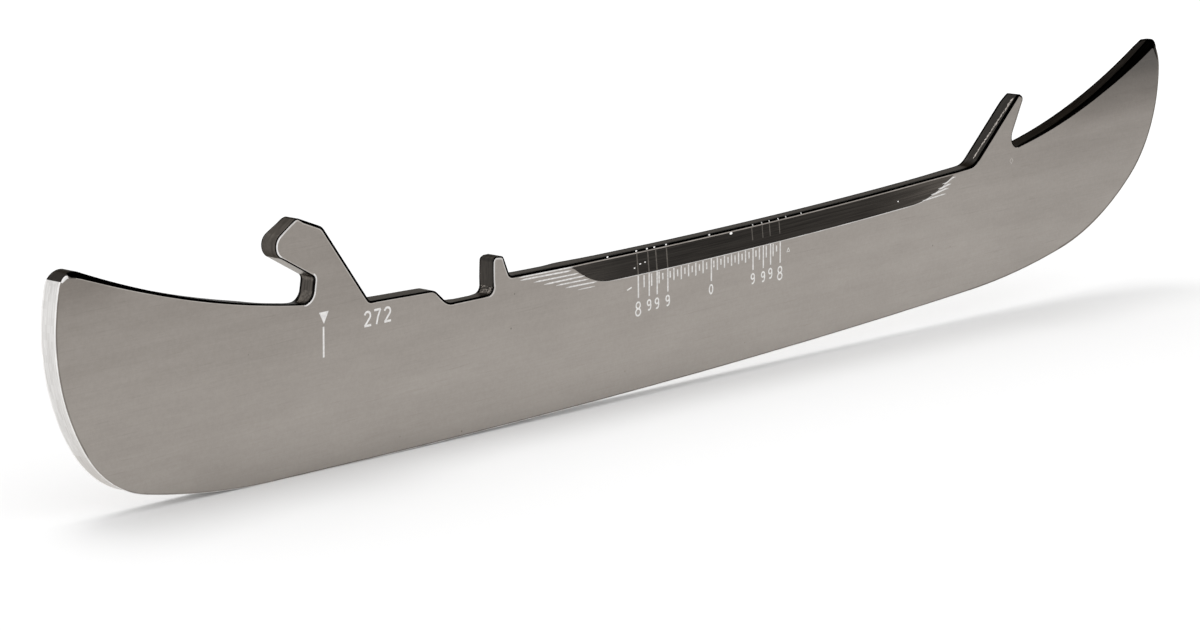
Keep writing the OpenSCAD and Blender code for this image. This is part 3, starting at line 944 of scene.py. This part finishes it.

# %% [markdown]
# The two ground faces carry most of the picture. Such a face mirrors its surroundings as a soft
# blur, so its tone changes slowly along the blade. The surroundings could be rebuilt, but they
# can't be seen, so that blurred reflection is painted into the tone, fixed to the place on the
# steel: the painted reflection falls towards the top edges and most at the toe's tip.

# %% How the tone falls on the face
FACE_TONE = 155.5
TOP_FALL = 15
TOP_FALL_HEIGHTS = (5, 32)
TOE_WARD_FALL = 8
TOE_WARD = (60, 108)
TOE_TIP = (92, 116)
TOE_FALLS = ((25, 31, 24), (30, 38, 32))
HEEL_FALL = 16
HEEL_TIP = (-118, -131)
HEEL_FALL_HEIGHTS = (29, 35)


def make_face_place(tree):
    """The place on the blade in millimetres, and its x and z."""
    place = add(tree, "ShaderNodeTexCoord").outputs["Object"]
    place = stretch(tree, place, (1 / MM,) * 3)
    parts = add(tree, "ShaderNodeSeparateXYZ", {0: place})
    return place, parts.outputs["X"], parts.outputs["Z"]


def make_reflection_fall(tree, x, z):
    """How far the painted reflection lowers the tone, in screen levels."""
    fall = remap(tree, z, *TOP_FALL_HEIGHTS, 0, TOP_FALL)
    fall = math_node(tree, "ADD", fall, remap(tree, x, *TOE_WARD, 0, TOE_WARD_FALL))
    at_toe = remap(tree, x, *TOE_TIP)
    for start, end, amount in TOE_FALLS:
        more = math_node(tree, "MULTIPLY", at_toe, remap(tree, z, start, end, 0, amount))
        fall = math_node(tree, "ADD", fall, more)
    at_heel = remap(tree, x, *HEEL_TIP)
    more = math_node(tree, "MULTIPLY", at_heel, remap(tree, z, *HEEL_FALL_HEIGHTS, 0, HEEL_FALL))
    return math_node(tree, "ADD", fall, more)


print("the face's tone is", FACE_TONE, "low down, and falls by", TOP_FALL, "towards the top")

# %% [markdown]
# On top of that come soft mottling, faint grinding lines, fine grain, and a few pits and scratches.
# Each changes the tone only a little, or it would look printed. Noise makes the first three. Pits
# are the middles of a few Voronoi cells, and scratches are peaks of noise drawn out at a low angle
# to the grinding lines. An image could hold all of it, but would blur close up.

# %% The ground face
MOTTLE = 2.2
LINE_TONE = 1.6
GRAIN_TONE = 2.0
PIT_TONE = 34
SCRATCH_TONE = 5
SCRATCH_TURN = 14
FACE_ROUGHNESS = (0.38, 0.46)


def make_pits(tree, place):
    cells = add(tree, "ShaderNodeTexVoronoi", {"Vector": place, "Scale": 0.16, "Randomness": 1.0})
    middle = remap(tree, cells.outputs["Distance"], 0.016, 0.032, 1, 0)
    some = remap(tree, noise(tree, place, 0.05), 0.44, 0.5)
    return math_node(tree, "MULTIPLY", middle, some)


def make_scratches(tree, place):
    turn = (0, math.radians(SCRATCH_TURN), 0)
    links = {"Vector": place, "Rotation": turn, "Scale": (0.12, 1.0, 5.0)}
    turned = add(tree, "ShaderNodeMapping", links).outputs[0]
    return remap(tree, noise(tree, turned, 1.0, 1.0), 0.68, 0.76)


def make_ground_face():
    material, tree, shader = start_material("ground_face")
    place, x, z = make_face_place(tree)
    links = {"Place": place, "Fineness": 4.0, "Length": 30.0}
    lines = add(tree, "ShaderNodeGroup", links, node_tree=grind_lines)
    cloud = noise(tree, stretch(tree, place, (0.3, 1.0, 1.0)), 0.2, 4.0, 0.6)
    grain = noise(tree, place, 1.6, 3.0, 0.8)
    tone = math_node(tree, "SUBTRACT", FACE_TONE, make_reflection_fall(tree, x, z))
    fine = lines.outputs["Lines"]
    for value, amount in ((cloud, MOTTLE), (fine, LINE_TONE), (grain, GRAIN_TONE)):
        tone = math_node(tree, "ADD", tone, widen(tree, value, -amount, amount))
    flaws = ((make_pits(tree, place), PIT_TONE), (make_scratches(tree, place), SCRATCH_TONE))
    for mask, amount in flaws:
        tone = math_node(tree, "SUBTRACT", tone, math_node(tree, "MULTIPLY", mask, amount))
    colour = steel_of(tree, math_node(tree, "DIVIDE", tone, 255.0))
    tree.links.new(colour, shader.inputs["Base Color"])
    shader.inputs["Metallic"].default_value = 1.0
    rough = widen(tree, lines.outputs["Bands"], *FACE_ROUGHNESS)
    tree.links.new(rough, shader.inputs["Roughness"])
    return material


for finish in FINISHES:
    face_or_edge = make_ground_face() if finish == "ground_face" else edge_finishes[finish]
    runner.data.materials.append(face_or_edge)
print("finishes:", ", ".join(FINISHES))

# %% [markdown]
# An etched stroke is frosted steel, and a brushed streak is bright bare steel. Both are small in
# the picture, so a plain tone with a little noise is enough, and one function makes them all.

# %% Mark finishes
# name: screen level, how far noise moves it, roughness
MARK_VALUES = {
    "etched_mark": (226, 8, 0.6),
    "faint_etched_mark": (220, 12, 0.6),
    "brushed_streak": (214, 14, 0.4),
    "mark_over_relief": (88, 8, 0.4),
    # A glint is a painted highlight.
    "glint": (245, 6, 0.3),
    "faint_spot": (166, 4, 0.45),
    "sheared_steel": (150, 16, 0.5),
}


def mark_steel(name, level, spread, rough):
    material, tree, shader = start_material(name)
    shader.inputs["Metallic"].default_value = 1.0
    shader.inputs["Roughness"].default_value = rough
    place, _, _ = make_face_place(tree)
    tone = widen(tree, noise(tree, place, 2.0, 3.0), (level - spread) / 255, (level + spread) / 255)
    tree.links.new(steel_of(tree, tone), shader.inputs["Base Color"])
    return material


marks = {name: mark_steel(name, *values) for name, values in MARK_VALUES.items()}
print("mark finishes:", ", ".join(marks))

# %% [markdown]
# The size number is the blade's length in millimetres, 272. A text object would bring its font's
# own shapes, but the laser draws plain strokes, so each digit is a few strokes in a box one unit
# high. Beside it, a small triangle and a line show where the holder's latch sits.

# %% Size number and latch mark
def arc(centre, across, up, start, end, count=12):
    angles = np.radians(np.linspace(start, end, count))
    return [(centre[0] + across * math.cos(a), centre[1] + up * math.sin(a)) for a in angles]


DIGITS = {
    "0": [arc((0.3, 0.5), 0.28, 0.46, 90, 450, 20)],
    "2": [arc((0.3, 0.7), 0.27, 0.26, 165, -38, 12) + [(0.03, 0.03)], [(0.0, 0.04), (0.62, 0.04)]],
    "7": [[(0.0, 0.96), (0.6, 0.96)], [(0.58, 0.96), (0.34, 0.5), (0.2, 0.0)]],
    "8": [arc((0.3, 0.73), 0.22, 0.22, 90, 450, 16), arc((0.3, 0.26), 0.26, 0.24, 90, 450, 16)],
    "9": [arc((0.3, 0.7), 0.25, 0.25, 0, 360, 16), arc((0.3, 0.42), 0.26, 0.4, 40, -120, 12)],
}
SIZE_NUMBER = "272"
SIZE_STROKE = 0.33


def write(text, left, base, height, pitch, width):
    """The strokes of a number, from its left end, with its base line at base."""
    strokes = []
    for number, digit in enumerate(text):
        for path in DIGITS[digit]:
            placed = [(left + number * pitch + u * height, base + v * height) for u, v in path]
            strokes.append(ribbon(placed, width))
    return strokes


size_number = write(SIZE_NUMBER, -80.8, 20.4, 2.15, 2.0, SIZE_STROKE)
inlay("size_number", size_number, front_plane, marks["etched_mark"])
triangle = np.array([(-89.6, 23.9), (-87.75, 23.9), (-88.7, 22.2)])
latch_line = ribbon([(-88.8, 21.8), (-88.87, 17.45)], SIZE_STROKE)
inlay("latch_mark", [triangle, latch_line], front_plane, marks["etched_mark"])
print("size number", SIZE_NUMBER, "and the latch mark")

# %% [markdown]
# A scale sits under the relief, with its zero at the blade's centre. An array modifier could copy
# one tick, but the ticks end unevenly and leave out the places of the long lines, which a loop does
# simply.

# %% The scale
LONG_LINES = [(-20.6, 14.75), (-17.95, 14.65), (-16.0, 14.6), (-13.35, 14.6), (-2.35, 14.55),
              (8.55, 14.65), (11.3, 14.55), (13.25, 14.8), (15.85, 14.75)]
FIGURES = ["8", "9", "9", "9", "0", "9", "9", "9", "8"]
FIGURE_HEIGHTS = {"8": 2.3, "9": 1.7, "0": 1.55}
FIGURE_DROP = 0.55
TICK_WIDTH, LINE_WIDTH, FIGURE_WIDTH = 0.31, 0.32, 0.28
TICK_START = -19.2
TICK_PITCH = 0.92
TICK_COUNT = 38
TICK_ROOM = 0.45
TICK_FEET = (16.15, 16.7)
TICK_DROPS = (0.0, 0.35)
TICK_WOBBLE = 0.12
SCALE_TOP = 18.15
LEAN = 0.05

ticks = []
for k in range(TICK_COUNT):
    x = TICK_START + TICK_PITCH * k
    if min(abs(x - line) for line, _ in LONG_LINES) < TICK_ROOM:
        continue
    foot = TICK_FEET[k % 2] + chance.uniform(-TICK_WOBBLE, TICK_WOBBLE)
    ticks.append(ribbon([(x, SCALE_TOP - TICK_DROPS[k % 2]), (x + LEAN, foot)], TICK_WIDTH))
inlay("scale_ticks", ticks, front_plane, marks["faint_etched_mark"])

lines = [ribbon([(x, SCALE_TOP + 0.15), (x + LEAN, foot)], LINE_WIDTH) for x, foot in LONG_LINES]
figures = []
for (x, foot), figure in zip(LONG_LINES, FIGURES):
    height = FIGURE_HEIGHTS[figure]
    base = foot - FIGURE_DROP - height
    figures += write(figure, x - 0.3 * height, base, height, 1.0, FIGURE_WIDTH)
dash = ribbon([(-23.3, 16.4), (-22.2, 16.7)], 0.22)
diamond = ribbon(arc((18.1, 16.5), 0.42, 0.42, 90, 450, 4), 0.16)
inlay("scale_lines", lines, front_plane, marks["faint_etched_mark"])
inlay("scale_figures", figures + [dash, diamond], front_plane, marks["etched_mark"])
print(len(ticks), "ticks and", len(lines), "long lines")

# %% [markdown]
# The long lines run on over the relief, as a faint trace on the dark steel, and end in a bright dot
# or nick on the broken edge. A few glints, painted highlights as small bright ovals, lie there too.
# A shrinkwrap could press them on, but the slope is known, so each mark's plane is worked out from
# its place.

# %% Marks on the relief
RELIEF_SLOPE = RELIEF_DEPTH / RELIEF_WIDTH
REAR_LINES_END, FRONT_LINES_START = -10, 8
DOTS = [-27.8, -20.9, -18.3, -16.5, -13.6, -2.7, 8.6, 11.0, 13.0, 15.4, 17.5, 21.7]
# The glints are painted highlights.
# x, z, half width, half height
GLINTS = [(-21.4, 19.6, 0.2, 0.09), (-20.0, 20.05, 0.24, 0.1), (-18.8, 20.15, 0.2, 0.08),
          (3.0, 21.5, 0.38, 0.2), (49.5, 20.3, 0.16, 0.12)]


def web_at(x):
    return WEB_CENTRE[1] - math.sqrt(WEB_RADIUS**2 - (x - WEB_CENTRE[0]) ** 2)


def relief_plane(x):
    """The relief's own slope at x, measured from its foot."""
    foot = web_at(x) - RELIEF_WIDTH - LOOKS["web_top"][DARK_WIDTH] - LOOKS["web_top"][LIGHT_WIDTH]
    return np.array([x, -FACE, foot]), AHEAD, np.array([0, RELIEF_SLOPE, 1.0])


over = [(x, 0.28, 0.05) for x, _ in LONG_LINES if x < REAR_LINES_END]
over += [(x, 0.22, 1.2) for x, _ in LONG_LINES if x > FRONT_LINES_START]
traces = [ribbon([(-0.1, 3.25), (0.0, low_end)], width) for _, width, low_end in over]
trace_planes = [relief_plane(x) for x, _, _ in over]
inlay("lines_over_relief", traces, trace_planes, marks["mark_over_relief"])

strip_plane = (np.array([0, -(FACE - RELIEF_DEPTH - 0.01), 0]), AHEAD, UP)
dots = [oval((x + 0.1, web_at(x) - 0.13), 0.22, 0.13) for x in DOTS if x < 0]
inlay("edge_dots", dots, strip_plane, marks["glint"])
nicks = [ribbon([(x, web_at(x) - 0.04), (x + 0.25, web_at(x) - 0.3)], 0.16) for x in DOTS if x > 0]
inlay("edge_nicks", nicks, strip_plane, marks["brushed_streak"])
glints = [oval((0, z - relief_plane(x)[0][2]), wide, tall) for x, z, wide, tall in GLINTS]
inlay("relief_glints", glints, [relief_plane(x) for x, *_ in GLINTS], marks["glint"])
print(len(traces), "lines,", len(dots), "dots,", len(nicks), "nicks and", len(glints), "glints")

# %% [markdown]
# At the relief's two ends the wheel only grazed the face and left bright streaks beside the dark. A
# soft fade in the material wouldn't look cut, so each streak is a long pointed stroke. A faint spot
# lies under the notch.

# %% Streaks at the relief's ends, and a faint spot
# rear x, z | front x, z | width
STREAKS = [
    (-47.6, 22.32, -36.5, 22.1, 0.2),
    (-47.2, 21.88, -37.0, 21.6, 0.24),
    (-44.2, 21.1, -35.2, 20.9, 0.22),
    (-41.9, 20.4, -33.9, 20.3, 0.24),
    (-39.2, 19.8, -32.8, 19.65, 0.2),
    (-37.0, 19.1, -31.0, 18.95, 0.22),
    (-34.2, 18.35, -31.4, 18.3, 0.14),
    (57.6, 19.45, 63.4, 19.7, 0.2),
    (60.2, 20.15, 64.3, 20.6, 0.26),
    (62.3, 20.9, 65.1, 21.25, 0.28),
    (63.6, 21.6, 66.4, 22.3, 0.24),
]


def streak(rear_x, rear_z, front_x, front_z, width):
    middle = ((rear_x + front_x) / 2, (rear_z + front_z) / 2)
    rear = [(rear_x - 0.8, rear_z), (rear_x + 0.4, rear_z)]
    front = [(front_x - 0.4, front_z), (front_x + 0.5, front_z)]
    return ribbon(rear + [middle] + front, width, pointed=True)


streaks = [streak(*row) for row in STREAKS]
inlay("brushed_streaks", streaks, front_plane, marks["brushed_streak"])
spot = ribbon(arc((84.8, 22.9), 0.5, 0.5, 90, 450, 5), 0.25)
inlay("faint_spot", [spot], front_plane, marks["faint_spot"])
print(len(streaks), "streaks and a spot")

# %% [markdown]
# The rear side of the toe post was sheared, which left a ragged bright streak along its middle. One
# long shape would look too clean, so it is a row of short slanted strokes, each with its own reach
# and width.

# %% The sheared streak
BURRS = 44
BURR_START, BURR_RUN = 1.8, 14.2
BURR_ACROSS, BURR_DRIFT, BURR_WOBBLE = 0.74, 0.45, 0.07
BURR_REACH = (0.3, 0.75)
BURR_WIDTH = (0.14, 0.34)
post_top = corners[order.index("post_rear")][1]
post_low = corners[order.index("web_top")][1]
post_along = unit(post_low - post_top)
post_plane = (
    np.array([post_top[0], -FACE, post_top[1]]),
    np.array([post_along[0], 0, post_along[1]]),
    np.array([0, 1.0, 0]),
)
burrs = []
for k in range(BURRS):
    share = k / (BURRS - 1)
    along = BURR_START + BURR_RUN * share
    across = BURR_ACROSS + BURR_DRIFT * share + chance.uniform(-BURR_WOBBLE, BURR_WOBBLE)
    reach = chance.uniform(*BURR_REACH)
    path = [(along - reach, across - 0.08), (along, across), (along + reach, across + 0.02)]
    burrs.append(ribbon(path, chance.uniform(*BURR_WIDTH), pointed=True))
inlay("sheared_streak", burrs, post_plane, marks["sheared_steel"])
print(BURRS, "strokes along the post's rear side")

# %% Finish
print("runner and marks built")
